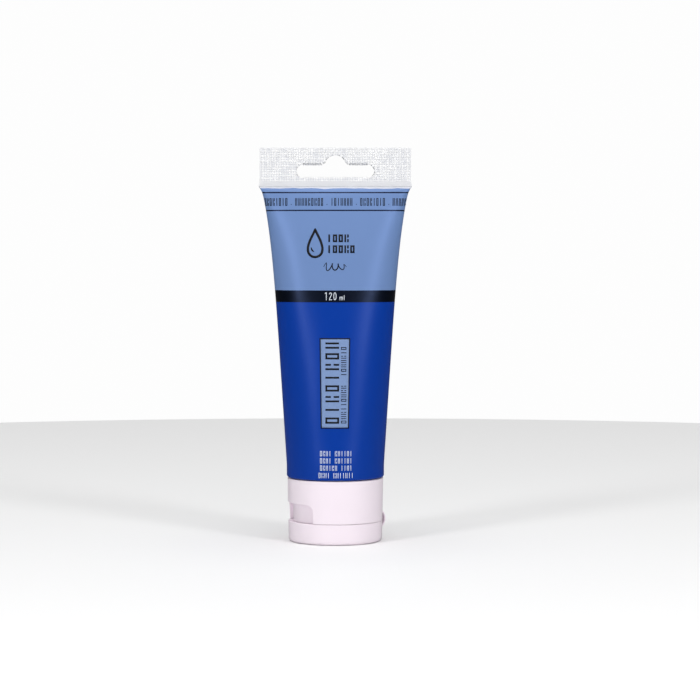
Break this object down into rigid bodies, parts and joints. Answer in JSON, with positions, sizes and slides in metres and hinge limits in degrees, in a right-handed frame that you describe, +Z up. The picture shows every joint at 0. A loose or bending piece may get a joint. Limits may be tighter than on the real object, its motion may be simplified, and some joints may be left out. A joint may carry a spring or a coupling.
{
  "type": "paint tube",
  "caption": "Soft plastic squeeze tube for artist's paint, flat-sealed with a slotted hanging tab, standing on its screw-on flip-top cap.",
  "frame": {"origin": "centre of the closed lid's flat standing face, at the bottom of the tube", "axes": "+Z up the tube to the hanging tab, X along the flat seal, the printed front faces -Y"},
  "size_m": [0.0629, 0.04, 0.161],
  "materials": {
    "sleeve_print": "satin polyethylene film, printed ultramarine blue",
    "moulded_white": "satin moulded polypropylene",
    "seal_foil": "thin laminated foil",
    "paint": "thick wet acrylic paint",
    "foam_washer": "soft foamed polyethylene"
  },
  "bodies": {
    "tube": {"tube_sleeve": "sleeve_print", "tube_shoulder": "moulded_white", "foil_seal": "seal_foil", "paint_fill": "paint"},
    "washer": {"neck_washer": "foam_washer"},
    "cap": {"cap_base": "moulded_white", "hinge_band": "moulded_white"},
    "lid": {"cap_lid": "moulded_white"}
  },
  "joints": [
    {"name": "cap_lift", "type": "slide", "parent": "tube", "child": "washer", "axis": [0, 0, -1], "range_m": [0, 0.0161]},
    {"name": "cap_turn", "type": "hinge", "parent": "washer", "child": "cap", "pos_m": [0, 0, 0.01], "axis": [0, 0, -1], "range_deg": [0, 1800]},
    {"name": "lid_flip", "type": "hinge", "parent": "cap", "child": "lid", "pos_m": [0.01631, 0.00761, 0.00852], "axis": [0.4226, -0.9063, 0], "range_deg": [0, 130], "deforming": ["hinge_band"]}
  ],
  "couplings": [
    {"joint": "cap_lift", "follows": "cap_turn", "m_per_rad": 0.0005093}
  ]
}
